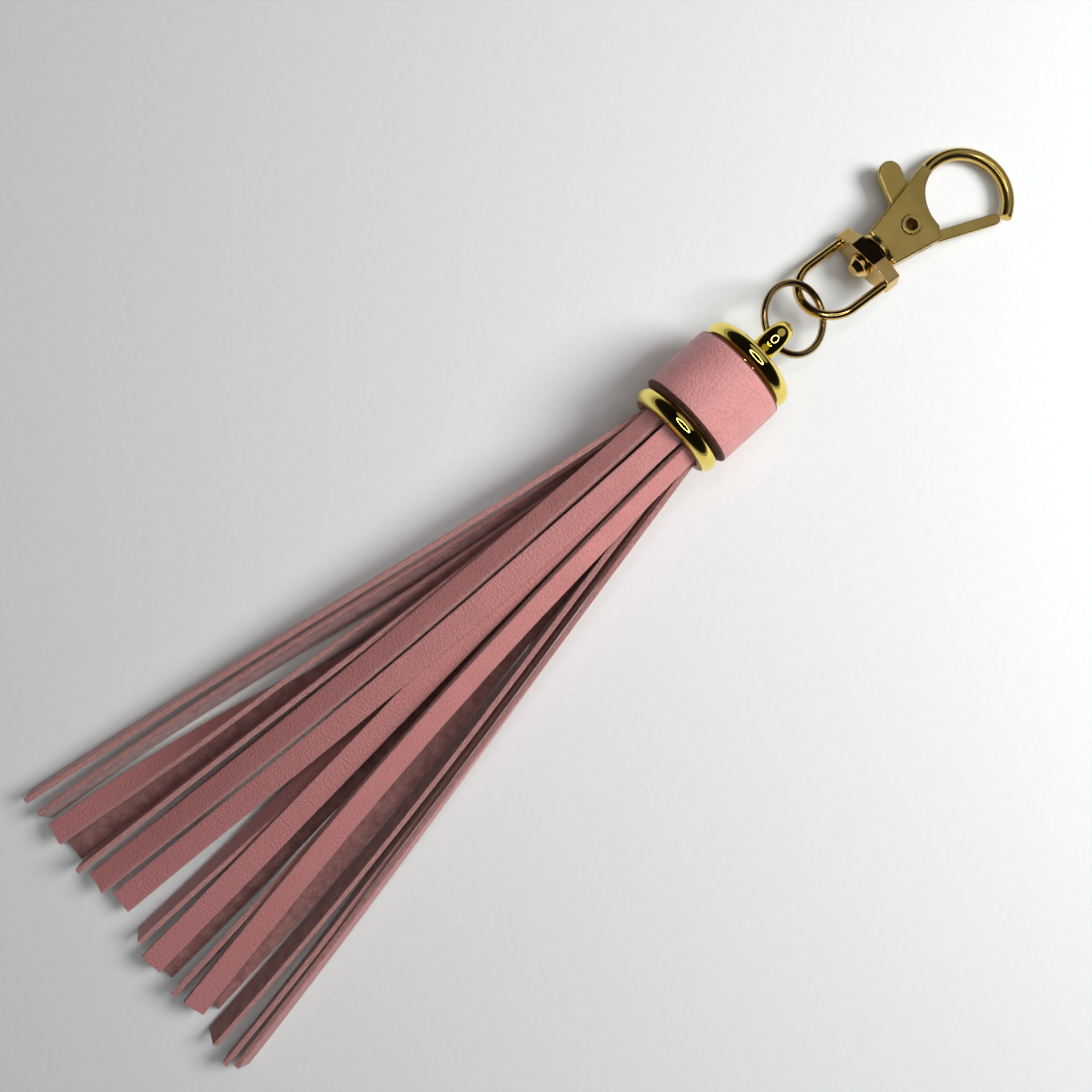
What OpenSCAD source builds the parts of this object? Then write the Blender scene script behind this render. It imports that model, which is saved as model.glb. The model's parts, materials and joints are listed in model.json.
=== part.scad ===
// Leather tassel charm with a swivel trigger clasp, lying flat.
// +X runs from the fringe to the clasp, +Y to the left of it, +Z up.
// The origin is on the surface the charm lies on, under the middle of its outline.
// All sizes are in millimetres.

/* [Tassel head] */
// X of the collar mouth, where the fringe leaves the head
mouth_x = 24.4; // [15:0.1:35]
// outside diameter of the leather band, which lies on the surface
band_d = 16.8; // [12:0.1:24]
// thickness of the leather band
band_t = 1.2; // [0.8:0.1:2]
// length of the leather band along the head
band_len = 11.2; // [6:0.1:20]
// outside diameter of the rim and of the collar ring
rim_d = 16.3; // [12:0.1:24]
// length of the rim and of the collar ring along the head
rim_len = 3.1; // [2:0.1:5]
// wall of the metal barrel under the band
barrel_wall = 1.2; // [0.6:0.1:2]

/* [Hanging eye] */
// radius of the hole in the eye
eye_hole_r = 1.3; // [1:0.1:3]
// width of the eye metal around its hole
eye_wall = 2.3; // [1:0.1:3]
// thickness of the eye across the head
eye_t = 2.9; // [2:0.1:4]

/* [Fringe] */
// width of one leather strip
strip_w = 3.8; // [2:0.1:6]
// thickness of one leather strip
strip_t = 0.9; // [0.5:0.05:1.5]
// gap between the rolled header and the first ring of each strip
strip_gap = 0.3; // [0.1:0.05:1]
// number of rings along one strip
strip_rings = 26; // [10:1:40]

/* [Jump ring] */
// radius of the ring, to the middle of its wire
ring_r = 5.6; // [4:0.1:8]
// thickness of the ring wire
ring_wire = 1.15; // [0.8:0.05:2]

/* [Clasp] */
// radius of the hook's opening
hook_r = 6.5; // [4:0.1:10]
// thickness of the round bar the hook is bent from
hook_bar = 2; // [1:0.1:3]
// thickness of the clasp body
body_t = 4.8; // [3:0.1:7]
// width of the swivel loop over its wires
loop_w = 11.8; // [8:0.1:16]
// wire thickness of the swivel loop
loop_wire = 1.5; // [1:0.1:2.5]
// how far the trigger lever is pressed, in degrees
trigger_open = 0; // [0:1:28]

/* [Hidden] */
$fn = 64;
eps = 0.01;
STRIP_COUNT = 17;
function strip_name(i) = str("fringe_strip_", i < 9 ? "0" : "", i + 1);

gold = [0.85, 0.68, 0.25];
old_gold = [0.7, 0.55, 0.3];
pink = [0.85, 0.5, 0.5];
steel = [0.7, 0.7, 0.72];
amber = [0.8, 0.65, 0.35];

// head, measured from the mouth
axis_z = band_d / 2;
barrel_r = band_d / 2 - band_t;
bore_r = barrel_r - barrel_wall;
ring_gap = 0.3;
band_x = rim_len + ring_gap;
rim_x = band_x + band_len + 0.1;
rim_round = rim_len / 2;
rim_core_r = rim_d / 2 - rim_round;
end_wall = 1.9;
bore_depth = rim_x + rim_len - end_wall;
dome_rise = 0.8;
seam_gap = 0.3;
eye_r = eye_hole_r + eye_wall;
eye_x = rim_x + rim_len + eye_r + 0.2;
neck_r = 2;
header_r = bore_r - 0.1;
header_in = 0.1;
header_len = 12.5;
wrap_t = 1;
wrap_pitch = 1.2;
wrap_step = 15;

// radii of the three rings of strips at the mouth, and how wide a strip is there
layer_r = [5.3, 3.9, 2.4];
layer_w = [3.6, 3.45, 3];
// share of the sideways travel still to go at the second handle of a strip's curve
late_share = 0.28;
// share of a strip's length between its two handles and its ends, together
handle_sum = 0.66;
// share of the length over which a strip reaches its full width
root_share = 0.17;
// one row per strip: angle at the mouth from the top toward +Y, layer, side and height of the
// free end, turn of the free end, reach from the mouth, share of the sideways travel done at the
// first handle, how far the strip stays level, and how late it turns
STRIPS = [
    [0, 0, 4.8, 2.1, 4, 113, 0, 0.42, 1],
    [45, 0, 9.6, 2.6, 20, 113.5, 0.1, 0.46, 0.4],
    [90, 0, 27.1, 2, 75, 112.5, 0.29, 0.33, 1],
    [135, 0, 23.3, 2, 108, 112.5, 0.18, 0.26, 1],
    [180, 0, 16, 0.5, 180, 113.5, 0.08, 0.12, 1],
    [-135, 0, -25, 2, -92, 117.7, 0.24, 0.28, 1],
    [-90, 0, -27.1, 2, -72, 116.5, 0.33, 0.33, 1],
    [-45, 0, -15.2, 3.1, -18, 115.5, 0.1, 0.46, 0.5],
    [0, 1, -5.5, 2.8, -8, 115.8, 0.15, 0.34, 1],
    [86, 1, 13.2, 3.1, 80, 113.5, 0.24, 0.33, 1],
    [148, 1, 19.8, 2.8, 14, 113, 0.24, 0.34, 2],
    [-86, 1, -20.8, 1.9, -125, 117, 0.2, 0.22, 1],
    [-148, 1, -16.4, 0.6, -180, 114, 0.05, 0.16, 1],
    [0, 2, -1.1, 2, 66, 114.5, 0, 0.12, 3],
    [-90, 2, -11.6, 2.3, -84, 116, 0.07, 0.34, 1],
    [180, 2, -7.6, 0.6, 180, 116, 0.06, 0.16, 1],
    [90, 2, 9.3, 0.6, 178, 112, 0.2, 0.3, 1.5]
];

// jump ring: where its wire passes through the eye, and how the ring leans from there
ring_at = [46.1, 0, 8];
ring_yaw = 2.4;
ring_pitch = 18.6;
ring_roll = 17;
butt_gap = 0.15;
butt_angle = 205;

// clasp frame: the middle of the neck flange, with its own X along the swivel axis
clasp_at = [68.4, -0.95, 3.45];
clasp_yaw = -6;
clasp_pitch = 4.2;
loop_roll = -21;
flange_r = 3.2;
flange_t = 1;
rivet_r = 1.3;
rivet_depth = 2.7;
running = 0.05;
plate_gap = 0.3;
plate_t = 2.4;
plate_mid_h = 5.2;
plate_end_h = 2.5;
plate_mid_w = 5;
bow_r = (loop_w - loop_wire) / 2;
bow_apex = 13.9;
rivet_head_r = 2;
rivet_head_t = 1.7;
hook_at = [16.8, -1.4];
hook_nose = -58;
hook_mid_r = hook_r + hook_bar / 2;
hook_out_r = hook_r + hook_bar;
// step between the body's faces and the hook's where the two meet
seat = 0.05;
// corners of the body beside the gate
body_heel = [[9.2, -4.4], [10.2, -2.6]];
// where the body starts to thin toward the hook
thick_end = 9;
// how far round its arc the hook starts inside the body, in degrees
hook_root = 8;
pivot_at = [6.5, 0.2];
pivot_r = 1.25;
pivot_bore_r = 0.95;
pivot_rim_r = 1.7;
pivot_rim_t = 0.3;
hub_r = 2.8;
slot_r = 3.1;
lever_t = 1.2;
slot_t = lever_t + 0.2;
tab_r = 1.85;
tab_root = [7.7, 0.6];
tab_end = [9.9, 8.9];
// corners of the arm between the hub and the gate
arm = [[5.4, -2.2], [8.9, -4], [10.9, -3.2], [9, 0.4]];
// corners of the room the thumb tab and the arm sweep
tab_room = [[9.8, 0], [12.3, 9.5], [12.3, 12], [1, 12], [3.6, 2]];
gate_room = [[5.5, -2.8], [6, -6], [12.5, -7], [13, 4], [8, 3.3]];
gate_r = 0.9;
gate_root = [9.2, -3.5];
gate_end = [19, -6.9];
spring_wire = 0.35;
spring_r = 1.75;
spring_pocket_r = 2.25;
spring_pocket_t = 0.8;

// ---------- helpers ----------

// turns a shape made around Z so that its axis runs along +X from the mouth
module along_head(x = 0) {
    translate([mouth_x + x, 0, axis_z])
        rotate([0, 90, 0])
            children();
}

// turns a shape made around Z so that its axis runs along +X
module along_x() {
    rotate([0, 90, 0])
        children();
}

module in_clasp_frame() {
    translate(clasp_at)
        rotate([0, clasp_pitch, clasp_yaw])
            children();
}

module in_loop_frame() {
    in_clasp_frame()
        rotate([loop_roll, 0, 0])
            children();
}

module in_ring_frame() {
    translate(ring_at)
        rotate([0, 0, ring_yaw])
            rotate([0, ring_pitch, 0])
                rotate([ring_roll, 0, 0])
                    translate([ring_r, 0, 0])
                        children();
}

// flat outline of a bar with round ends
module bar_2d(from, to, r) {
    step = to - from;
    translate(from)
        circle(r);
    translate(to)
        circle(r);
    translate(from)
        rotate(atan2(step[1], step[0]))
            translate([0, -r])
                square([norm(step), 2 * r]);
}

module slab(t) {
    translate([0, 0, -t / 2])
        linear_extrude(t)
            children();
}

// half-round collar section: flat on the axis side, round outside
module collar_2d() {
    translate([rim_core_r, rim_round])
        circle(rim_round);
    square([rim_core_r, rim_len]);
}

// ---------- tassel head ----------

module rim() {
    along_head(rim_x)
        rotate_extrude()
            intersection() {
                collar_2d();
                square([rim_d, rim_len]);
            }
}

module end_dome() {
    ball_r = (pow(rim_core_r, 2) + pow(dome_rise, 2)) / (2 * dome_rise);
    along_head(rim_x + rim_len)
        difference() {
            intersection() {
                translate([0, 0, dome_rise - ball_r])
                    sphere(ball_r, $fn = 96);
                translate([0, 0, -eps])
                    cylinder(r = rim_core_r, h = dome_rise + 1);
            }
            cylinder(r = neck_r, h = dome_rise + 1);
        }
}

module barrel() {
    along_head()
        cylinder(r = barrel_r, h = rim_x + eps);
}

module eye_loop() {
    flat = eye_t - eye_wall;
    translate([mouth_x + eye_x, 0, axis_z])
        rotate([90, 0, 0])
            rotate_extrude()
                translate([eye_hole_r + eye_wall / 2, 0]) {
                    translate([0, flat / 2])
                        circle(eye_wall / 2);
                    translate([0, -flat / 2])
                        circle(eye_wall / 2);
                    square([eye_wall, flat], center = true);
                }
}

module eye_neck() {
    along_head(rim_x + rim_len)
        cylinder(r = neck_r, h = eye_wall);
}

module tassel_cap() {
    color(gold)
        difference() {
            union() {
                rim();
                barrel();
                end_dome();
            }
            along_head(-eps)
                cylinder(r = bore_r, h = bore_depth + eps);
        }
}

// thick round loop soldered to the middle of the cap's end
module hanging_eye() {
    color(gold) {
        difference() {
            eye_neck();
            translate([mouth_x + eye_x, 0, axis_z])
                rotate([90, 0, 0])
                    cylinder(r = eye_hole_r + eye_wall / 2, h = 3 * eye_t, center = true);
        }
        eye_loop();
    }
}

module collar_ring() {
    color(gold)
        along_head()
            rotate_extrude()
                difference() {
                    collar_2d();
                    translate([0, -eps])
                        square([barrel_r, rim_len + 2 * eps]);
                }
}

module leather_band() {
    color(pink)
        difference() {
            along_head(band_x)
                difference() {
                    cylinder(d = band_d, h = band_len);
                    translate([0, 0, -eps])
                        cylinder(r = barrel_r, h = band_len + 2 * eps);
                }
            translate([mouth_x + band_x - 1, -seam_gap / 2, -1])
                cube([band_len + 2, seam_gap, 1 + axis_z - barrel_r + band_t]);
        }
}

// the uncut top of the fringe sheet, rolled up and pushed into the barrel
module fringe_header() {
    turns = (header_r - wrap_t - 0.2) / wrap_pitch;
    steps = floor(turns * 360 / wrap_step);
    function outer_r(i) = header_r - wrap_pitch * i * wrap_step / 360;
    function at(i, r) = r * [cos(i * wrap_step), sin(i * wrap_step)];
    color(pink)
        along_head(header_in)
            linear_extrude(header_len)
                polygon(concat(
                    [for (i = [0:steps]) at(i, outer_r(i))],
                    [for (i = [steps:-1:0]) at(i, outer_r(i) - wrap_t)]
                ));
}

module glue_plug() {
    plug_x = header_in + header_len;
    color(amber)
        along_head(plug_x)
            cylinder(r = header_r, h = bore_depth - plug_x);
}

// ---------- fringe ----------

function smooth(t) = t * t * (3 - 2 * t);
function unit(v) = v / norm(v);
function mix(a, b, t) = a + (b - a) * t;

// middle of the strip's root
function strip_root(s) = [
    mouth_x - header_in - strip_gap,
    layer_r[s[1]] * sin(s[0]),
    axis_z + layer_r[s[1]] * cos(s[0])
];
function strip_end(s) = [mouth_x - s[5], s[2], s[3]];

// the strip's middle line is a cubic curve with level handles at both ends
function strip_handles(s) =
    let (p = strip_root(s), q = strip_end(s), run = p[0] - q[0], side = q[1] - p[1])
    [p,
     p + [-run * s[7], side * s[6], 0],
     q + [run * (handle_sum - s[7]), -side * late_share, 0],
     q];
function curve_at(h, t) =
    pow(1 - t, 3) * h[0] + 3 * pow(1 - t, 2) * t * h[1]
    + 3 * (1 - t) * t * t * h[2] + pow(t, 3) * h[3];
function curve_dir(h, t) = unit(
    pow(1 - t, 2) * (h[1] - h[0]) + 2 * (1 - t) * t * (h[2] - h[1]) + t * t * (h[3] - h[2]));

// four corners of the strip's section at share t of its length
function strip_ring(s, h, t) =
    let (
        dir = curve_dir(h, t),
        turn = s[0] + (s[4] - s[0]) * pow(smooth(t), s[8]),
        up = [0, sin(turn), cos(turn)],
        face = unit(up - (up * dir) * dir),
        across = cross(dir, face),
        half_w = mix(layer_w[s[1]], strip_w, min(1, t / root_share)) / 2,
        half_t = strip_t / 2,
        mid = curve_at(h, t)
    )
    [mid + across * half_w + face * half_t,
     mid - across * half_w + face * half_t,
     mid - across * half_w - face * half_t,
     mid + across * half_w - face * half_t];

module fringe_strip(i) {
    s = STRIPS[i];
    h = strip_handles(s);
    last = strip_rings - 1;
    points = [for (k = [0:last]) each strip_ring(s, h, k / last)];
    // each side panel is two triangles, because the strip's twist leaves it not quite flat
    near = [for (k = [0:last - 1], c = [0:3])
        [4 * k + c, 4 * k + (c + 1) % 4, 4 * k + 4 + (c + 1) % 4]];
    far = [for (k = [0:last - 1], c = [0:3])
        [4 * k + c, 4 * k + 4 + (c + 1) % 4, 4 * k + 4 + c]];
    tail = 4 * last;
    color(pink)
        polyhedron(
            points,
            concat([[3, 2, 1, 0]], near, far, [[tail, tail + 1, tail + 2, tail + 3]]),
            convexity = 4
        );
}

// ---------- jump ring ----------

module jump_ring() {
    open_angle = butt_gap / ring_r * 180 / PI;
    color(old_gold)
        in_ring_frame()
            rotate([0, 0, butt_angle + open_angle / 2])
                rotate_extrude(angle = 360 - open_angle)
                    translate([ring_r, 0])
                        circle(d = ring_wire);
}

// ---------- swivel loop ----------

// flat-sided plate of the loop, seen along the swivel axis
module loop_plate_2d() {
    polygon([
        [plate_mid_h / 2, -plate_mid_w / 2],
        [plate_mid_h / 2, plate_mid_w / 2],
        [plate_end_h / 2, loop_w / 2],
        [-plate_end_h / 2, loop_w / 2],
        [-plate_mid_h / 2, plate_mid_w / 2],
        [-plate_mid_h / 2, -plate_mid_w / 2],
        [-plate_end_h / 2, -loop_w / 2],
        [plate_end_h / 2, -loop_w / 2]
    ]);
}

module loop_bow() {
    arc_x = -bow_apex + bow_r;
    leg = -plate_gap - plate_t / 2 - arc_x;
    translate([arc_x, 0, 0])
        rotate([0, 0, 90])
            rotate_extrude(angle = 180)
                translate([bow_r, 0])
                    circle(d = loop_wire);
    for (side = [-1, 1])
        translate([arc_x, side * bow_r, 0])
            along_x()
                cylinder(d = loop_wire, h = leg);
}

module swivel_loop() {
    color(old_gold)
        in_loop_frame()
            difference() {
                union() {
                    translate([-plate_gap - plate_t, 0, 0])
                        rotate([0, 90, 0])
                            rotate([0, 0, 180])
                                linear_extrude(plate_t)
                                    loop_plate_2d();
                    loop_bow();
                }
                translate([-plate_gap - plate_t - 1, 0, 0])
                    along_x()
                        cylinder(r = rivet_r + running, h = plate_t + 2);
            }
}

// headed pin that holds the loop to the clasp and lets it turn
module swivel_rivet() {
    head_x = -plate_gap - plate_t - 0.1;
    step_t = rivet_head_t * 0.4;
    color(old_gold)
        in_clasp_frame() {
            translate([head_x, 0, 0])
                along_x()
                    cylinder(r = rivet_r, h = rivet_depth - head_x);
            translate([head_x - step_t, 0, 0])
                along_x()
                    cylinder(r = rivet_head_r, h = step_t);
            translate([head_x - rivet_head_t, 0, 0])
                along_x()
                    cylinder(r1 = rivet_head_r * 0.55, r2 = rivet_head_r * 0.9,
                             h = rivet_head_t - step_t);
        }
}

// ---------- clasp ----------

// where the line from a point touches a circle, on the circle's left
function touch_point(from, center, r) =
    let (to = center - from, turn = atan2(to[1], to[0]) + asin(r / norm(to)))
    from + sqrt(to * to - r * r) * [cos(turn), sin(turn)];

// the body's long side runs straight from the neck onto the hook's outside
neck_corner = [flange_t / 2, flange_r];
hook_touch = touch_point(neck_corner, hook_at, hook_out_r + seat);
touch_angle = atan2(hook_touch[1] - hook_at[1], hook_touch[0] - hook_at[0]);

// outline of the clasp body between the neck and the hook
module body_2d() {
    difference() {
        polygon(concat([[flange_t / 2, -flange_r]], body_heel, [hook_at, hook_touch, neck_corner]));
        translate(hook_at)
            circle(hook_r + seat);
    }
}

// side view of the body: full thickness at the pivot, thinner toward the hook
module body_side() {
    half = body_t / 2;
    thin = hook_bar / 2 + seat;
    far_end = hook_at[0] + hook_r;
    rotate([90, 0, 0])
        linear_extrude(4 * hook_r, center = true)
            polygon([
                [0, -half], [thick_end, -half], [hook_touch[0], -thin], [far_end, -thin],
                [far_end, thin], [hook_touch[0], thin], [thick_end, half], [0, half]
            ]);
}

module hook() {
    translate([hook_at[0], hook_at[1], 0])
        rotate([0, 0, hook_nose])
            rotate_extrude(angle = touch_angle + hook_root - hook_nose)
                translate([hook_mid_r, 0])
                    circle(d = hook_bar);
}

// room for the trigger lever, open toward the thumb tab and toward the gate
module lever_room_2d() {
    translate(pivot_at)
        circle(slot_r);
    polygon(concat([pivot_at], tab_room));
    polygon(gate_room);
}

// moves a shape made around the clasp frame's Z onto the trigger's pivot
module at_pivot() {
    translate([pivot_at[0], pivot_at[1], 0])
        children();
}

module clasp_body() {
    color(old_gold)
        in_clasp_frame()
            difference() {
                union() {
                    along_x()
                        cylinder(r = flange_r, h = flange_t);
                    intersection() {
                        slab(body_t)
                            body_2d();
                        body_side();
                    }
                    hook();
                }
                slab(slot_t)
                    lever_room_2d();
                translate([-eps, 0, 0])
                    along_x()
                        cylinder(r = rivet_r, h = rivet_depth + eps);
                at_pivot()
                    cylinder(r = pivot_r, h = 2 * body_t, center = true);
            }
}

// outline of the lever, measured from its pivot: thumb tab, hub and the arm of the gate
module lever_2d() {
    circle(hub_r);
    bar_2d(tab_root - pivot_at, tab_end - pivot_at, tab_r);
    polygon([for (corner = arm) corner - pivot_at]);
    bar_2d(gate_root - pivot_at, gate_end - pivot_at, gate_r);
}

module trigger_lever() {
    color(old_gold)
        in_clasp_frame()
            at_pivot()
                rotate([0, 0, trigger_open])
                    difference() {
                        slab(lever_t)
                            lever_2d();
                        cylinder(r = pivot_r + running, h = 2 * lever_t, center = true);
                        translate([0, 0, -lever_t / 2 - eps])
                            cylinder(r = spring_pocket_r, h = spring_pocket_t + eps);
                    }
}

// tube rivet with a rolled rim at each end
module pivot_rivet() {
    rim_z = body_t / 2;
    edge_r = pivot_rim_r - 0.2;
    color(old_gold)
        in_clasp_frame()
            at_pivot()
                difference() {
                    union() {
                        cylinder(r = pivot_r, h = body_t, center = true);
                        translate([0, 0, rim_z])
                            cylinder(r1 = pivot_rim_r, r2 = edge_r, h = pivot_rim_t);
                        translate([0, 0, -rim_z - pivot_rim_t])
                            cylinder(r1 = edge_r, r2 = pivot_rim_r, h = pivot_rim_t);
                    }
                    cylinder(r = pivot_bore_r, h = 2 * body_t, center = true);
                }
}

// the two coils of the torsion spring, in the lever's pocket
module trigger_spring() {
    low = -lever_t / 2 + spring_wire / 2;
    color(steel)
        in_clasp_frame()
            at_pivot()
                for (turn = [0:1])
                    translate([0, 0, low + turn * spring_wire * 0.9])
                        rotate_extrude()
                            translate([spring_r, 0])
                                circle(d = spring_wire, $fn = 24);
}

tassel_cap();
hanging_eye();
collar_ring();
leather_band();
fringe_header();
glue_plug();
for (i = [0:STRIP_COUNT - 1])
    fringe_strip(i);
jump_ring();
swivel_loop();
swivel_rivet();
clasp_body();
trigger_lever();
pivot_rivet();
trigger_spring();
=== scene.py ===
"""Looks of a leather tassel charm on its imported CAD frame.

All places are in metres in the frame of the CAD model: the charm lies along X on the floor z = 0,
with the fringe toward -X and the clasp toward +X. Small sizes are written as a number times MM.
"""

import json
import math

import bmesh
import bpy
import numpy as np
from mathutils import Euler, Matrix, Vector


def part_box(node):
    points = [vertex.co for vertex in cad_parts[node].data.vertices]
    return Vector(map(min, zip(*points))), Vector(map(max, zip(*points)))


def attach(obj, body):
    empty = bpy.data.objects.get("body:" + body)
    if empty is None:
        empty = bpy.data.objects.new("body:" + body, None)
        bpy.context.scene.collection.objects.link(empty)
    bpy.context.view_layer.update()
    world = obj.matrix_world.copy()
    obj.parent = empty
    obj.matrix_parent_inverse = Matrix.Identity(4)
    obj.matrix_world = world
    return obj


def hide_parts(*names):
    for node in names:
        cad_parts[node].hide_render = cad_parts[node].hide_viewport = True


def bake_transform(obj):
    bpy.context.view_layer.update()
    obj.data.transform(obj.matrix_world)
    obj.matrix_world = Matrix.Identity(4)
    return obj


MM = 0.001
TAU = 2 * math.pi

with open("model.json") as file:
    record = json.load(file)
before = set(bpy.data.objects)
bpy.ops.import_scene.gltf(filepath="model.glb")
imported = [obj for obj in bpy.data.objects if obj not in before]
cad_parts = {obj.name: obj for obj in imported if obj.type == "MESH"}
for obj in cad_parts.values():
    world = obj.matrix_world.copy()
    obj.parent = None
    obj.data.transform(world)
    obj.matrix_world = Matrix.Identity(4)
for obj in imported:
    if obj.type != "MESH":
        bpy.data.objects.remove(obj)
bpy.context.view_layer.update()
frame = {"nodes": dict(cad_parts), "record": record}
nodes = frame["nodes"]
strip_names = sorted(name for name in nodes if name.startswith("fringe_strip_"))
body_of = {
    member: body
    for body, members in frame["record"]["behaviour"]["bodies"].items()
    for member in members
}


# ---------- measures of the frame ----------

def node_points(name):
    """The distinct points of a CAD node's mesh."""
    points = np.array([v.co for v in nodes[name].data.vertices], float)
    return np.unique(points.round(7), axis=0)


def head_radii(name, x):
    """Distances from the head's axis of a node's points in the plane at x."""
    points = node_points(name)
    ring = points[abs(points[:, 0] - x) < 0.02 * MM]
    return np.hypot(ring[:, 1], ring[:, 2] - axis_z)


band_low, band_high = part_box("leather_band")
collar_low, collar_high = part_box("collar_ring")
header_low, header_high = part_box("fringe_header")
eye_low, eye_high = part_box("hanging_eye")
axis_z = (band_low.z + band_high.z) / 2
mouth_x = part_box("tassel_cap")[0].x
ring_gap = 0.3 * MM
rim_len = band_low.x - mouth_x - ring_gap
rim_r = (collar_high.y - collar_low.y) / 2
band_r = (band_high.y - band_low.y) / 2
barrel_r = head_radii("tassel_cap", mouth_x).max()
bore_r = head_radii("tassel_cap", mouth_x).min()
free_end = min(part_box(strip)[0].x for strip in strip_names)


# ---------- materials ----------

def new_material(name, **principled):
    """A Principled material with constant sockets set, and its node tree and shader."""
    material = bpy.data.materials.new(name)
    material.use_nodes = True
    tree = material.node_tree
    shader = tree.nodes["Principled BSDF"]
    for socket, value in principled.items():
        shader.inputs[socket.replace("_", " ")].default_value = value
    return material, tree, shader


def add(tree, kind, inputs, **settings):
    """One shader node: settings are its properties, inputs its values or links by socket."""
    node = tree.nodes.new(kind)
    for key, value in settings.items():
        setattr(node, key, value)
    for socket, value in inputs.items():
        if isinstance(value, bpy.types.NodeSocket):
            tree.links.new(value, node.inputs[socket])
        else:
            node.inputs[socket].default_value = value
    return node


def product(tree, a, b):
    """Two values or links multiplied."""
    return add(tree, "ShaderNodeMath", {0: a, 1: b}, operation="MULTIPLY").outputs[0]


def in_mm(tree, source, stretch=(1, 1, 1)):
    """Texture coordinates in millimetres, from the mesh's UV map or from its own place."""
    coords = tree.nodes.new("ShaderNodeTexCoord").outputs[source]
    scale = [s / MM for s in stretch]
    return add(
        tree, "ShaderNodeVectorMath", {0: coords, 1: scale}, operation="MULTIPLY"
    ).outputs[0]


def noise(tree, coords, scale, detail=3.0, roughness=0.55):
    """Soft noise from 0 to 1 with `scale` bumps to the millimetre."""
    node = add(
        tree,
        "ShaderNodeTexNoise",
        {"Vector": coords, "Scale": scale, "Detail": detail, "Roughness": roughness},
    )
    return node.outputs["Fac"]


def remap(tree, value, low, high, to_low, to_high):
    """Stretches the range low to high onto to_low to to_high and clips what lies outside."""
    node = add(
        tree,
        "ShaderNodeMapRange",
        {
            "Value": value,
            "From Min": low,
            "From Max": high,
            "To Min": to_low,
            "To Max": to_high,
        },
    )
    return node.outputs["Result"]


def mix_color(tree, factor, a, b):
    """Colour a where factor is 0 and b where it is 1; each is a link or an RGB value."""
    node = add(tree, "ShaderNodeMix", {}, data_type="RGBA", blend_type="MIX")
    # Socket 0 of this node is its factor, 6 and 7 are its two colours.
    for socket, value in ((0, factor), (6, a), (7, b)):
        if isinstance(value, bpy.types.NodeSocket):
            tree.links.new(value, node.inputs[socket])
        elif socket == 0:
            node.inputs[0].default_value = value
        else:
            node.inputs[socket].default_value = (*value, 1)
    return node.outputs[2]


def set_bump(tree, shader, height, depth):
    """Relief on the shaded surface: height from 0 to 1 stands for depth metres."""
    bump = add(tree, "ShaderNodeBump", {"Height": height, "Strength": 1.0, "Distance": depth})
    tree.links.new(bump.outputs[0], shader.inputs["Normal"])


def weighted_sum(tree, parts):
    """Sum of values or links, each times its own weight."""
    total = 0.0
    for value, weight in parts:
        total = add(
            tree, "ShaderNodeMath", {0: value, 1: weight, 2: total}, operation="MULTIPLY_ADD"
        ).outputs[0]
    return total


def grain_leather(name, color, cell, depth, wear_and_painted_shade=None):
    """Pebbled grain side: soft domes about `cell` millimetres across, with pores and folds.

    The last argument, if given, is painted shade: the colour that the strips darken to toward
    their free ends, where less light falls.
    """
    material, tree, shader = new_material(name, Specular_IOR_Level=0.5)
    place = in_mm(tree, "UV")
    warp = add(tree, "ShaderNodeTexNoise", {"Vector": place, "Scale": 1.2 / cell, "Detail": 2.0})
    bent = add(
        tree,
        "ShaderNodeVectorMath",
        {0: warp.outputs["Color"], 1: (0.9 * cell,) * 3, 2: place},
        operation="MULTIPLY_ADD",
    ).outputs[0]
    domes = add(
        tree,
        "ShaderNodeTexVoronoi",
        {"Vector": bent, "Scale": 1 / cell, "Smoothness": 0.4},
        feature="SMOOTH_F1",
        voronoi_dimensions="2D",
    ).outputs["Distance"]
    pebble = remap(tree, domes, 0.1, 0.7, 1.0, 0.0)
    pores = noise(tree, place, 3.0 / cell, 3.0)
    folds = noise(tree, place, 0.3 / cell, 2.0)
    height = weighted_sum(tree, ((pebble, 0.6), (pores, 0.3), (folds, 0.5)))
    set_bump(tree, shader, height, depth)

    mottle = remap(tree, noise(tree, place, 0.22, 4.0), 0.3, 0.7, 0.0, 1.0)
    dark = [c * 0.90 for c in color]
    light = [min(1, c * 1.06) for c in color]
    body = mix_color(tree, mottle, dark, light)
    if wear_and_painted_shade:
        # Painted shade: the strips darken toward their free ends, where less light falls.
        along = add(tree, "ShaderNodeSeparateXYZ", {0: in_mm(tree, "Object")}).outputs["X"]
        body = mix_color(tree, remap(tree, along, free_end / MM, mouth_x / MM, 1, 0), body, wear_and_painted_shade)
    # Painted shade: the grain darkens in the creases between the pebbles.
    crease_shade = [c * s for c, s in zip(color, (0.62, 0.5, 0.5))]
    with_crease_shade = mix_color(tree, remap(tree, pebble, 0.0, 0.7, 0.26, 0.0), body, crease_shade)
    tree.links.new(with_crease_shade, shader.inputs["Base Color"])
    rough = remap(tree, pores, 0.3, 0.7, 0.32, 0.5)
    tree.links.new(rough, shader.inputs["Roughness"])
    return material


def cut_edge(name, color, pits):
    """Raw cut edge: fibres that run with the cut, with darker pits between them."""
    material, tree, shader = new_material(
        name, Specular_IOR_Level=0.2, Sheen_Weight=0.15, Roughness=0.85
    )
    along = in_mm(tree, "UV", (0.8, 4.5, 1))
    fibres = noise(tree, along, 1.1, 5.0, 0.7)
    specks = noise(tree, in_mm(tree, "UV"), 4.0, 3.0, 0.7)
    both = product(tree, fibres, specks)
    shade = remap(tree, both, 0.14, 0.36, 0.0, 1.0)
    tree.links.new(mix_color(tree, shade, pits, color), shader.inputs["Base Color"])
    set_bump(tree, shader, both, 0.16 * MM)
    return material


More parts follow.
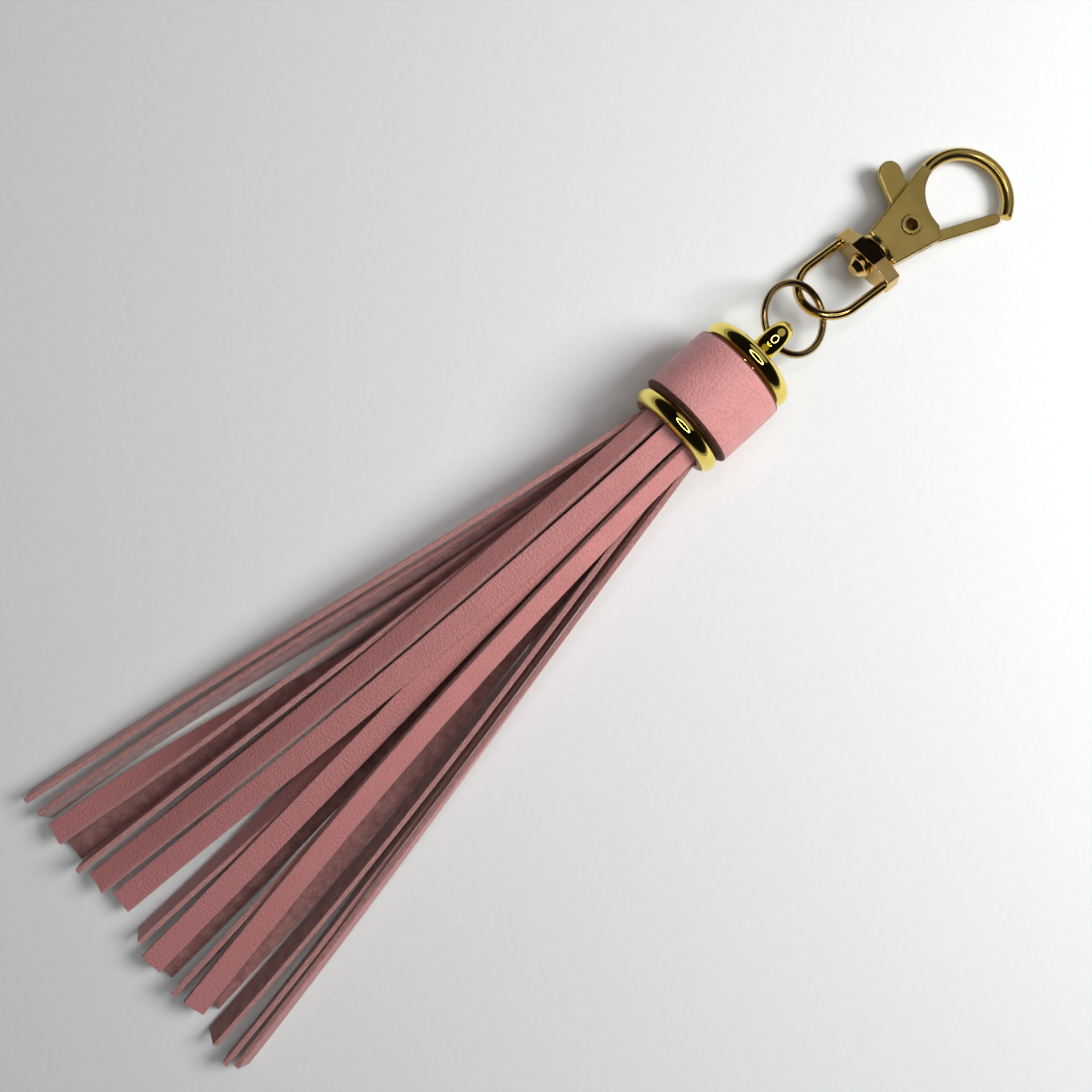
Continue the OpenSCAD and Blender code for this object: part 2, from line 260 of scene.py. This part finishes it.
def suede(name, color, nap):
    """Flesh side: short nap in changing directions."""
    material, tree, shader = new_material(
        name, Specular_IOR_Level=0.1, Sheen_Weight=0.35, Sheen_Roughness=0.5, Roughness=0.95
    )
    place = in_mm(tree, "UV")
    tufts = noise(tree, in_mm(tree, "UV", (0.5, 1.6, 1)), 2.2, 5.0, 0.7)
    clouds = noise(tree, place, 0.5, 3.0)
    both = product(tree, tufts, clouds)
    shade = remap(tree, both, 0.12, 0.38, 0.0, 1.0)
    tree.links.new(mix_color(tree, shade, nap, color), shader.inputs["Base Color"])
    set_bump(tree, shader, tufts, 0.12 * MM)
    return material


def plated(name, color, tint, roughness, wear, scratch):
    """Gold plating: tinted patches, fine scratches and, with wear, specks of dull metal."""
    material, tree, shader = new_material(name, Metallic=1.0)
    place = in_mm(tree, "Object")
    patches = remap(tree, noise(tree, place, 0.28, 3.0), 0.35, 0.65, 0.0, 1.0)
    plating = mix_color(tree, patches, color, tint)
    specks = noise(tree, place, 3.4, 5.0, 0.75)
    wear_and_painted_shade = remap(tree, specks, 0.62 - 0.12 * wear, 0.70, 0.0, wear)
    bare = [0.62 * color[0] + 0.2, 0.62 * color[1] + 0.2, 0.5 * color[2] + 0.15]
    tree.links.new(mix_color(tree, wear_and_painted_shade, plating, bare), shader.inputs["Base Color"])
    lines = noise(tree, in_mm(tree, "Object", (0.35, 1.5, 1.2)), 3.0, 6.0, 0.7)
    tree.links.new(
        remap(tree, lines, 0.3, 0.75, roughness, roughness + scratch), shader.inputs["Roughness"]
    )
    set_bump(tree, shader, noise(tree, place, 0.8, 2.0, 0.5), 0.004 * MM * wear)
    return material


def hard_glue(name, color):
    """Set glue: cloudy, slightly see-through and lumpy."""
    material, tree, shader = new_material(name, Roughness=0.35, Transmission_Weight=0.3)
    swirl = noise(tree, in_mm(tree, "Object"), 0.6, 3.0)
    pale = [min(1, c * 1.15) for c in color]
    tree.links.new(mix_color(tree, swirl, color, pale), shader.inputs["Base Color"])
    set_bump(tree, shader, swirl, 0.05 * MM)
    return material


def spring_steel(name):
    """Drawn wire with marks along its length."""
    material, tree, shader = new_material(name, Metallic=1.0)
    drawn = noise(tree, in_mm(tree, "Object", (1, 1, 6)), 4.0, 4.0)
    tree.links.new(
        mix_color(tree, drawn, (0.42, 0.42, 0.44), (0.62, 0.62, 0.64)),
        shader.inputs["Base Color"],
    )
    tree.links.new(remap(tree, drawn, 0.3, 0.7, 0.2, 0.35), shader.inputs["Roughness"])
    return material


# The strips' last colour is painted shade, which they darken to toward their free ends.
strip_grain = grain_leather(
    "strip_grain", (0.68, 0.28, 0.265), 0.40, 0.07 * MM, wear_and_painted_shade=(0.50, 0.205, 0.205)
)
strip_edge = cut_edge("strip_edge", (0.60, 0.33, 0.30), (0.33, 0.13, 0.12))
strip_suede = suede("strip_suede", (0.40, 0.20, 0.18), (0.20, 0.085, 0.08))
# The band's grain is the strips' pink painted lighter, standing in for the brighter light on the
# band.
lit_band_grain = grain_leather("lit_band_grain", (0.74, 0.33, 0.32), 0.46, 0.07 * MM)
band_edge = cut_edge("band_edge", (0.20, 0.07, 0.04), (0.06, 0.018, 0.012))
bright_gold = plated("bright_gold", (0.92, 0.70, 0.15), (0.88, 0.74, 0.20), 0.01, 0.0, 0.015)
# Dark gold painted as shade on the cap's barrel and bore.
gap_shade_gold = plated("gap_shade_gold", (0.30, 0.16, 0.05), (0.40, 0.24, 0.09), 0.45, 0.3, 0.05)
dark_gold = plated("dark_gold", (0.46, 0.31, 0.13), (0.58, 0.41, 0.19), 0.14, 0.2, 0.08)
loop_gold = plated("loop_gold", (0.68, 0.44, 0.15), (0.76, 0.54, 0.22), 0.11, 0.25, 0.08)
clasp_gold = plated("clasp_gold", (0.62, 0.43, 0.12), (0.70, 0.51, 0.17), 0.20, 0.45, 0.08)
glue = hard_glue("set_glue", (0.62, 0.42, 0.16))
steel = spring_steel("spring_steel")


# ---------- mesh tools ----------

def new_object(name, vertices, faces, materials):
    """A smooth shaded mesh object in the scene."""
    mesh = bpy.data.meshes.new(name)
    mesh.from_pydata([tuple(v) for v in vertices], [], faces)
    piece = bpy.data.objects.new(name, mesh)
    bpy.context.scene.collection.objects.link(piece)
    for material in materials:
        mesh.materials.append(material)
    mesh.polygons.foreach_set("use_smooth", [True] * len(mesh.polygons))
    return piece


def smooth_between(points, shares):
    """Smooth curve through rows of points, at shares of the way from first to last."""
    last = len(points) - 1
    at = np.clip(np.asarray(shares) * last, 0, last)
    i = np.minimum(at.astype(int), last - 1)
    f = (at - i)[:, None]
    slope = np.gradient(points, axis=0)
    return (
        (2 * f**3 - 3 * f**2 + 1) * points[i]
        + (f**3 - 2 * f**2 + f) * slope[i]
        + (3 * f**2 - 2 * f**3) * points[i + 1]
        + (f**3 - f**2) * slope[i + 1]
    )


def unit(vectors):
    """Vectors of length 1, along the last axis of the array."""
    return vectors / np.linalg.norm(vectors, axis=-1, keepdims=True)


def loft(name, rings, along, around, zones, materials, cap_zone=0):
    """Closed skin through rings of points (ring, point, xyz), with a flat cap at each end.

    along has one value per ring and around one more than the points of a ring; both are
    surface distances and make the UV map. zones names the material of each panel of a ring.
    """
    count, size = rings.shape[:2]
    faces, uvs, material_of = [], [], []
    for k in range(count - 1):
        for p in range(size):
            q = (p + 1) % size
            faces.append((k * size + p, k * size + q, (k + 1) * size + q, (k + 1) * size + p))
            uvs += [
                (along[k], around[p]),
                (along[k], around[p + 1]),
                (along[k + 1], around[p + 1]),
                (along[k + 1], around[p]),
            ]
            material_of.append(zones[p])
    for k, turn in ((0, -1), (count - 1, 1)):
        corners = list(range(size))[::turn]
        faces.append(tuple(k * size + p for p in corners))
        spread = rings[k] - rings[k].mean(0)
        uvs += [(spread[p][2], spread[p][1]) for p in corners]
        material_of.append(cap_zone)
    piece = new_object(name, rings.reshape(-1, 3), faces, materials)
    mesh = piece.data
    mesh.uv_layers.new(name="surface").data.foreach_set("uv", np.ravel(uvs))
    mesh.polygons.foreach_set("material_index", material_of)
    mesh.set_sharp_from_angle(angle=math.radians(50))
    return piece


def outline_length(profile):
    """Distance along a closed outline at each of its points and back at the first."""
    steps = np.linalg.norm(np.roll(profile, -1, axis=0) - profile, axis=1)
    return np.concatenate([[0], np.cumsum(steps)])


def revolve(name, profile, center, axis, material, segments=180):
    """Skin of a closed outline of (place along the axis, radius) turned about the X or Y axis."""
    vertices, faces = [], []
    size = len(profile)
    for k in range(segments):
        angle = TAU * k / segments
        for place, radius in profile:
            a, b = radius * math.cos(angle), radius * math.sin(angle)
            offset = (place, a, b) if axis == "X" else (a, place, -b)
            vertices.append(Vector(center) + Vector(offset))
    for k in range(segments):
        for p in range(size):
            q, n = (p + 1) % size, (k + 1) % segments
            faces.append((k * size + p, k * size + q, n * size + q, n * size + p))
    piece = new_object(name, vertices, faces, [material])
    mesh = bmesh.new()
    mesh.from_mesh(piece.data)
    bmesh.ops.remove_doubles(mesh, verts=mesh.verts, dist=0.001 * MM)
    bmesh.ops.recalc_face_normals(mesh, faces=mesh.faces)
    mesh.to_mesh(piece.data)
    mesh.free()
    piece.data.set_sharp_from_angle(angle=math.radians(40))
    return piece


def arc(center, radius, start, end, steps):
    """Points of an arc, angles in degrees."""
    angles = np.radians(np.linspace(start, end, steps))
    return [(center[0] + radius * math.cos(a), center[1] + radius * math.sin(a)) for a in angles]


def apply_modifiers(piece):
    """Replaces a piece's mesh by what its modifiers make of it."""
    graph = bpy.context.evaluated_depsgraph_get()
    done = bpy.data.meshes.new_from_object(piece.evaluated_get(graph))
    piece.modifiers.clear()
    piece.data = done


def cast(piece, voxel, rounds):
    """Rounds a piece's edges and fills its corners, as die casting and plating do."""
    remesh = piece.modifiers.new("cast", "REMESH")
    remesh.mode = "VOXEL"
    remesh.voxel_size = voxel
    remesh.use_smooth_shade = True
    soften = piece.modifiers.new("soften", "SMOOTH")
    soften.factor = 0.5
    soften.iterations = rounds
    apply_modifiers(piece)
    piece.data.polygons.foreach_set("use_smooth", [True] * len(piece.data.polygons))


def cast_copy(node, name, material, voxel, rounds):
    """A softened copy of a CAD node that stands for it."""
    piece = bpy.data.objects.new(name, nodes[node].data.copy())
    bpy.context.scene.collection.objects.link(piece)
    mesh = bmesh.new()
    mesh.from_mesh(piece.data)
    bmesh.ops.remove_doubles(mesh, verts=mesh.verts, dist=0.0005 * MM)
    mesh.to_mesh(piece.data)
    mesh.free()
    cast(piece, voxel, rounds)
    piece.data.materials.clear()
    piece.data.materials.append(material)
    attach(piece, body_of[node])
    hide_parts(node)
    return piece


# ---------- tassel head ----------

def make_cap():
    """Barrel, half-round rim and domed end in one turned skin, hollow at the mouth.

    The barrel and the bore take a dark gold that is painted shade for the narrow gaps beside the
    band and for the inside of the mouth.
    """
    round_r = rim_len / 2
    dome_base = eye_low.x
    dome_rise = 0.8 * MM
    core_r = rim_r - round_r
    ball_r = (core_r**2 + dome_rise**2) / (2 * dome_rise)
    edge = math.degrees(math.asin(core_r / ball_r))
    lip = 0.25 * MM
    bore_end = header_high.x + 3 * MM
    profile = [(bore_end, 0), (bore_end, bore_r)]
    profile += arc((mouth_x + lip, bore_r + lip), lip, 270, 180, 5)
    profile += arc((mouth_x + lip, barrel_r - lip), lip, 180, 90, 5)
    profile += [(dome_base - rim_len, barrel_r)]
    foot = math.degrees(math.asin((barrel_r - core_r) / round_r))
    profile += arc((dome_base - round_r, core_r), round_r, 180 - foot, 0, 40)
    profile += arc((dome_base + dome_rise - ball_r, 0), ball_r, edge, 0, 24)
    cap = revolve("turned_cap", profile, (0, 0, axis_z), "X", bright_gold)
    cap.data.materials.append(gap_shade_gold)
    # Painted shade: the barrel in the gaps beside the band, and the bore, take the dark gold.
    play = 0.01 * MM
    for face in cap.data.polygons:
        off_axis = math.hypot(face.center.y, face.center.z - axis_z)
        if off_axis < barrel_r + play and face.center.x < dome_base - rim_len:
            face.material_index = 1
    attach(cap, "head")
    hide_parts("tassel_cap")


def make_collar():
    """Ring at the mouth, half round outside."""
    round_r = rim_len / 2
    core_r = rim_r - round_r
    play = 0.02 * MM
    foot = math.degrees(math.asin((barrel_r + play - core_r) / round_r))
    profile = arc((mouth_x + round_r, core_r), round_r, 180 - foot, foot, 48)
    collar = revolve("turned_collar", profile, (0, 0, axis_z), "X", bright_gold)
    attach(collar, "head")
    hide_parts("collar_ring")


def make_eye():
    """Round-edged loop on its neck, with a fillet of solder where it meets the cap."""
    reach = (eye_high.z - eye_low.z) / 2
    center = (eye_high.x - reach, 0, axis_z)
    points = node_points("hanging_eye")
    hole_r = np.hypot(points[:, 0] - center[0], points[:, 2] - center[2]).min()
    wall = reach - hole_r
    middle = hole_r + wall / 2
    profile = [(eye_high.y * y, middle + wall / 2 * r) for r, y in arc((0, 0), 1, 0, 354, 60)]
    eye = revolve("soldered_eye", profile, center, "Y", bright_gold)
    neck_r = 2 * MM
    fillet_r, fillet_rise = 0.45 * MM, 0.35 * MM
    base = eye_low.x
    top = center[0] - middle
    neck = [(base, 0), (base, neck_r + fillet_r), (base + fillet_rise, neck_r + 0.1 * MM)]
    neck += [(top, neck_r * 0.8), (top, 0)]
    stem = revolve("stem", neck, (0, 0, axis_z), "X", bright_gold, 96)
    join([eye, stem])
    cast(eye, 0.07 * MM, 6)
    base_share, taper = 0.97, 0.24
    for vertex in eye.data.vertices:
        share = (vertex.co.x - base) / (eye_high.x - base)
        vertex.co.y *= base_share - taper * share**2
    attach(eye, "head")
    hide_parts("hanging_eye")


def join(pieces):
    """Puts the meshes of all the pieces in the first one."""
    mesh = bmesh.new()
    for piece in pieces:
        mesh.from_mesh(piece.data)
    mesh.to_mesh(pieces[0].data)
    mesh.free()
    for piece in pieces[1:]:
        bpy.data.objects.remove(piece)


def leather_outline(width, thick, outer_round, inner_round, crown):
    """Points (across, outward) round a cut leather strip, and the zone of each panel.

    Zone 0 is the grain side, raised by crown in the middle, 1 a cut edge and 2 the flesh side.
    """
    w, t = width / 2, thick / 2
    top_w, low_w = w - outer_round, w - inner_round
    top_t, low_t = t - outer_round, inner_round - t
    grain = [(a * top_w, t + crown * (1 - a * a)) for a in np.linspace(1, -1, 10)]
    left = arc((-top_w, top_t), outer_round, 90, 180, 4)[1:]
    left += arc((-low_w, low_t), inner_round, 180, 270, 3)[:-1]
    flesh = [(a * low_w, -t) for a in np.linspace(-1, 1, 6)]
    right = arc((low_w, low_t), inner_round, 270, 360, 3)[1:]
    right += arc((top_w, top_t), outer_round, 0, 90, 4)[:-1]
    zones = [0] * (len(grain) - 1)
    zones += [1] * (len(left) + 1)
    zones += [2] * (len(flesh) - 1)
    zones += [1] * (len(right) + 1)
    return np.array(grain + left + flesh + right), zones


def make_band():
    """Leather wrapped once round the barrel and butted underneath.

    Its end at the collar is cut on a slant.
    """
    width = band_high.x - band_low.x
    thick = band_r - barrel_r
    corner_r, flesh_r, crown = 0.35 * MM, 0.15 * MM, 0.06 * MM
    outline, zones = leather_outline(width, thick, corner_r, flesh_r, crown)
    slant = 0.42 * MM
    at_collar = outline[:, 0] < -width / 2 + 0.4 * MM
    outline[at_collar, 0] -= slant * (0.5 - outline[at_collar, 1] / thick)
    middle_x = (band_low.x + band_high.x) / 2
    middle_r = (band_r + barrel_r) / 2
    half_seam = 0.15 * MM / band_r
    angles = np.linspace(-math.pi / 2 + half_seam, 1.5 * math.pi - half_seam, 181)
    rings = []
    for angle in angles:
        # The cut ends wander a little on their way round.
        ease = 0.05 * MM * math.sin(3 * angle) + 0.03 * MM * math.sin(7 * angle + 1)
        out = np.array([0, math.cos(angle), math.sin(angle)])
        rings.append(
            [
                np.array([middle_x + across * (1 + ease / width), 0, axis_z])
                + out * (middle_r + outward)
                for across, outward in outline
            ]
        )
    rings = np.array(rings)
    rings[:, :, 2] = np.maximum(rings[:, :, 2], 0)
    around = outline_length(outline)
    band = loft("wrapped_band", rings, angles * band_r, around, zones,
                [lit_band_grain, band_edge, strip_suede], cap_zone=1)
    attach(band, "head")
    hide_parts("leather_band")


def make_header():
    """The rolled, uncut top of the fringe: one leather sheet wound inward in the bore."""
    thick = 1 * MM
    pitch = 1.2 * MM
    core_r = 1.2 * MM
    outer = header_high.z - axis_z
    turns = (outer - core_r) / pitch
    length = header_high.x - header_low.x
    corner_r = 0.1 * MM
    outline, zones = leather_outline(length, thick, corner_r, corner_r, 0)
    rings, along = [], []
    step = math.radians(6)
    for angle in np.arange(0, turns * TAU, step):
        radius = outer - thick / 2 - pitch * angle / TAU
        out = np.array([0, math.sin(angle), -math.cos(angle)])
        middle = np.array([(header_low.x + header_high.x) / 2, 0, axis_z]) + out * radius
        rings.append([middle + np.array([a, 0, 0]) + out * b for a, b in outline])
        along.append(angle * (outer - thick))
    header = loft("rolled_header", np.array(rings), np.array(along), outline_length(outline),
                  zones, [strip_grain, strip_edge, strip_suede], cap_zone=1)
    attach(header, "head")
    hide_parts("fringe_header")


# ---------- fringe ----------

def strip_frame(name):
    """Middle, across and outward directions, width and thickness of each section of a strip.

    A CAD strip is a run of four-cornered sections from the mouth (highest X) to its free end.
    """
    points = node_points(name)
    corners = points[np.argsort(-points[:, 0])].reshape(-1, 4, 3)
    middle = corners.mean(1)
    heading = unit(np.gradient(middle, axis=0))
    from_axis = middle[0] - np.array([middle[0][0], 0, axis_z])
    ordered = []
    for section, center, ahead in zip(corners, middle, heading):
        offsets = section - center
        side = unit(np.cross(ahead, [0.0, 0.0, 1.0]))
        up = np.cross(side, ahead)
        angles = np.arctan2(offsets @ up, offsets @ side)
        offsets = offsets[np.argsort(angles)]
        choices = [np.roll(offsets, turn, axis=0) for turn in range(4)]
        if ordered:
            cost = [((choice - ordered[-1]) ** 2).sum() for choice in choices]
        else:
            # The first two corners are those of the long side that faces away from the axis.
            cost = [
                -(np.linalg.norm(a - b) // MM) - np.sign((a + b) @ from_axis)
                for a, b, _, _ in choices
            ]
        ordered.append(choices[int(np.argmin(cost))])
    ordered = np.array(ordered)
    across = ordered[:, 0] - ordered[:, 1]
    outward = (ordered[:, 0] + ordered[:, 1]) / 2
    width = np.linalg.norm(across, axis=1)
    thick = 2 * np.linalg.norm(outward, axis=1)
    return middle, unit(across), unit(outward), width, thick


def make_strip(name, index):
    """One flat strip with rounded grain corners, cut edges and a flesh side."""
    middle, across, outward, width, thick = strip_frame(name)
    shares = np.linspace(0, 1, 150)
    middle = smooth_between(middle, shares)
    across = unit(smooth_between(across, shares))
    outward = smooth_between(outward, shares)
    outward = unit(outward - (outward * across).sum(1)[:, None] * across)
    width = smooth_between(width[:, None], shares)[:, 0]
    corner_r, flesh_r, crown = 0.14 * MM, 0.06 * MM, 0.02 * MM
    outline, zones = leather_outline(width.max(), thick.mean(), corner_r, flesh_r, crown)
    along = np.concatenate([[0], np.cumsum(np.linalg.norm(np.diff(middle, axis=0), axis=1))])
    short_wave = np.sin(along / (2.3 * MM) + index)
    long_wave = np.sin(along / (7.1 * MM) + 2 * index)
    ragged = 0.035 * MM * short_wave * long_wave
    narrow = (width + ragged) / width.max()
    rings = (
        middle[:, None, :]
        + across[:, None, :] * (outline[:, 0][None, :] * narrow[:, None])[:, :, None]
        + outward[:, None, :] * outline[:, 1][None, :, None]
    )
    # A first ring set back in the bore meets the header.
    seated = rings[:1].copy()
    seated[:, :, 0] = header_low.x
    rings = np.concatenate([seated, rings])
    along = np.concatenate([[along[0] - (header_low.x - middle[0][0])], along])
    rings[:, :, 2] = np.maximum(rings[:, :, 2], 0.01 * MM)
    own_grain = index * 50 * MM
    piece = loft(f"strip_{index:02d}", rings, along + own_grain, outline_length(outline),
                 zones, [strip_grain, strip_edge, strip_suede], cap_zone=1)
    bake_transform(piece)
    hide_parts(name)


# ---------- hardware ----------

def make_jump_ring():
    """Round wire ring with its butt joint, fitted to the CAD ring's plane and size."""
    points = node_points("jump_ring")
    center = points.mean(0)
    normal = np.linalg.svd(points - center, full_matrices=False)[2][2]
    fit_rounds = 4
    for _ in range(fit_rounds):
        spread = points - center
        flat = spread - np.outer(spread @ normal, normal)
        square = (flat**2).sum(1)
        center = center + np.linalg.lstsq(2 * flat, square - square.mean(), rcond=None)[0]
    far = np.sqrt(square)
    wire_middle = (far.max() + far.min()) / 2
    wire_r = (far.max() - far.min()) / 2
    side = unit(flat[np.argmax(far)])
    other = np.cross(normal, side)
    angles = np.arctan2(flat @ other, flat @ side)
    order = np.sort(angles)
    gaps = np.diff(np.concatenate([order, [order[0] + TAU]]))
    after = int(np.argmax(gaps))
    start = order[(after + 1) % len(order)]
    sweep = TAU - gaps[after]
    rings = []
    sides = 24
    turns = np.linspace(0, TAU, sides + 1)[:-1]
    bevel = 0.12 * MM
    bevel_turn = bevel / wire_middle
    full_wire = np.linspace(start + bevel_turn, start + sweep - bevel_turn, 160)
    places = np.concatenate([[start], full_wire, [start + sweep]])
    for k, angle in enumerate(places):
        out = side * math.cos(angle) + other * math.sin(angle)
        radius = wire_r - (bevel if k in (0, len(places) - 1) else 0)
        middle = center + out * wire_middle
        rings.append([middle + radius * (out * math.cos(t) + normal * math.sin(t)) for t in turns])
    rings = np.array(rings)
    around = np.linspace(0, TAU * wire_r, sides + 1)
    ring = loft("butted_ring", rings, places * wire_middle, around, [0] * sides, [dark_gold])
    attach(ring, "ring")
    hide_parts("jump_ring")


def make_clasp():
    """Cast and plated copies of the clasp's nodes: node, name, plating, voxel in mm, rounds."""
    castings = [
        ("swivel_loop", "cast_loop", loop_gold, 0.08, 5),
        ("swivel_rivet", "headed_rivet", loop_gold, 0.06, 10),
        ("clasp_body", "cast_body", clasp_gold, 0.09, 22),
        ("trigger_lever", "cast_lever", clasp_gold, 0.07, 14),
        ("pivot_rivet", "rolled_rivet", clasp_gold, 0.05, 4),
    ]
    for node, name, material, voxel, rounds in castings:
        piece = cast_copy(node, name, material, voxel * MM, rounds)


def dress(node, material):
    """Puts a material on a CAD node that keeps its own shape."""
    mesh = nodes[node].data
    mesh.materials.clear()
    mesh.materials.append(material)


# ---------- stage ----------

def make_floor():
    """Plain pale floor under the charm."""
    half = 3.0
    corners = [(-half, -half, 0), (half, -half, 0), (half, half, 0), (-half, half, 0)]
    material, tree, shader = new_material("pale_floor", Specular_IOR_Level=0.25, Roughness=0.8)
    cloth = noise(tree, in_mm(tree, "Object"), 0.9, 4.0)
    tree.links.new(
        mix_color(tree, cloth, (0.80, 0.82, 0.82), (0.87, 0.885, 0.88)),
        shader.inputs["Base Color"],
    )
    floor = new_object("floor", corners, [(0, 1, 2, 3)], [material])


def area_light(name, place, target, size, watts, shape="DISK", size_y=None):
    """A flat lamp that faces its target."""
    light = bpy.data.lights.new(name, "AREA")
    light.shape = shape
    light.size = size
    if size_y:
        light.size_y = size_y
    light.energy = watts
    lamp = bpy.data.objects.new(name, light)
    bpy.context.scene.collection.objects.link(lamp)
    lamp.location = place
    lamp.rotation_euler = (Vector(target) - Vector(place)).to_track_quat("-Z", "Y").to_euler()
    return lamp


def make_lights():
    """A ring light over the charm, a soft box past the clasp and two dim walls.

    The polished pieces mirror the ring light and the far wall, but not the soft box and the
    left wall.
    """
    ring_center = Vector((0.045, -0.02, 0.36))
    ring_r = 0.12
    tube = 0.020
    panels = 16
    panel_watts = 0.026
    for k in range(panels):
        angle = TAU * k / panels
        place = ring_center + ring_r * Vector((math.cos(angle), math.sin(angle), 0))
        lamp = area_light(f"ring_{k:02d}", place, (place.x, place.y, 0), tube, panel_watts,
                          "RECTANGLE", TAU * ring_r / panels)
        lamp.rotation_euler = Euler((0, 0, angle))
    key = area_light("soft_box", (0.24, -0.17, 0.26), (0.02, 0, 0), 0.2, 1.4)
    key.visible_glossy = False
    fill = area_light("left_wall", (-0.05, 0.50, 0.22), (0.02, 0, 0), 0.4, 0.08)
    fill.visible_glossy = False
    area_light("far_wall", (0.50, 0, 0.42), (0.08, 0, 0), 0.5, 0.22)


def make_room():
    """Pale walls low down and a dark ceiling, as the world that the metal mirrors."""
    world = bpy.data.worlds.new("surround")
    bpy.context.scene.world = world
    world.use_nodes = True
    tree = world.node_tree
    direction = tree.nodes.new("ShaderNodeTexCoord").outputs["Generated"]
    height = add(tree, "ShaderNodeSeparateXYZ", {0: direction}).outputs["Z"]
    ramp = add(tree, "ShaderNodeValToRGB", {0: height})
    # Brightness of the room by the sine of the angle above the horizon.
    stops = [(0.0, 0.55), (0.05, 0.40), (0.12, 0.025), (0.3, 0.008), (0.92, 0.004)]
    while len(ramp.color_ramp.elements) < len(stops):
        ramp.color_ramp.elements.new(0.5)
    for element, (place, level) in zip(ramp.color_ramp.elements, stops):
        element.position = place
        element.color = (level, level, level * 1.01, 1)
    background = tree.nodes["Background"]
    tree.links.new(ramp.outputs["Color"], background.inputs["Color"])
    background.inputs["Strength"].default_value = 1.0


def make_camera():
    """Looks straight down, turned so that the charm runs up to the right."""
    data = bpy.data.cameras.new("camera")
    data.sensor_width = 36
    data.lens = 36.1
    data.clip_start = 0.01
    camera = bpy.data.objects.new("camera", data)
    bpy.context.scene.collection.objects.link(camera)
    height = 176 * MM
    camera.location = (-0.75 * MM, 0.5 * MM, height)
    camera.rotation_euler = (0, 0, math.radians(-42.8))
    bpy.context.scene.camera = camera


make_cap()
make_collar()
make_eye()
make_band()
make_header()
for number, strip in enumerate(strip_names, 1):
    make_strip(strip, number)
make_jump_ring()
make_clasp()
dress("glue_plug", glue)
dress("trigger_spring", steel)
make_floor()
make_lights()
make_room()
make_camera()
bpy.context.scene.view_settings.view_transform = "Standard"
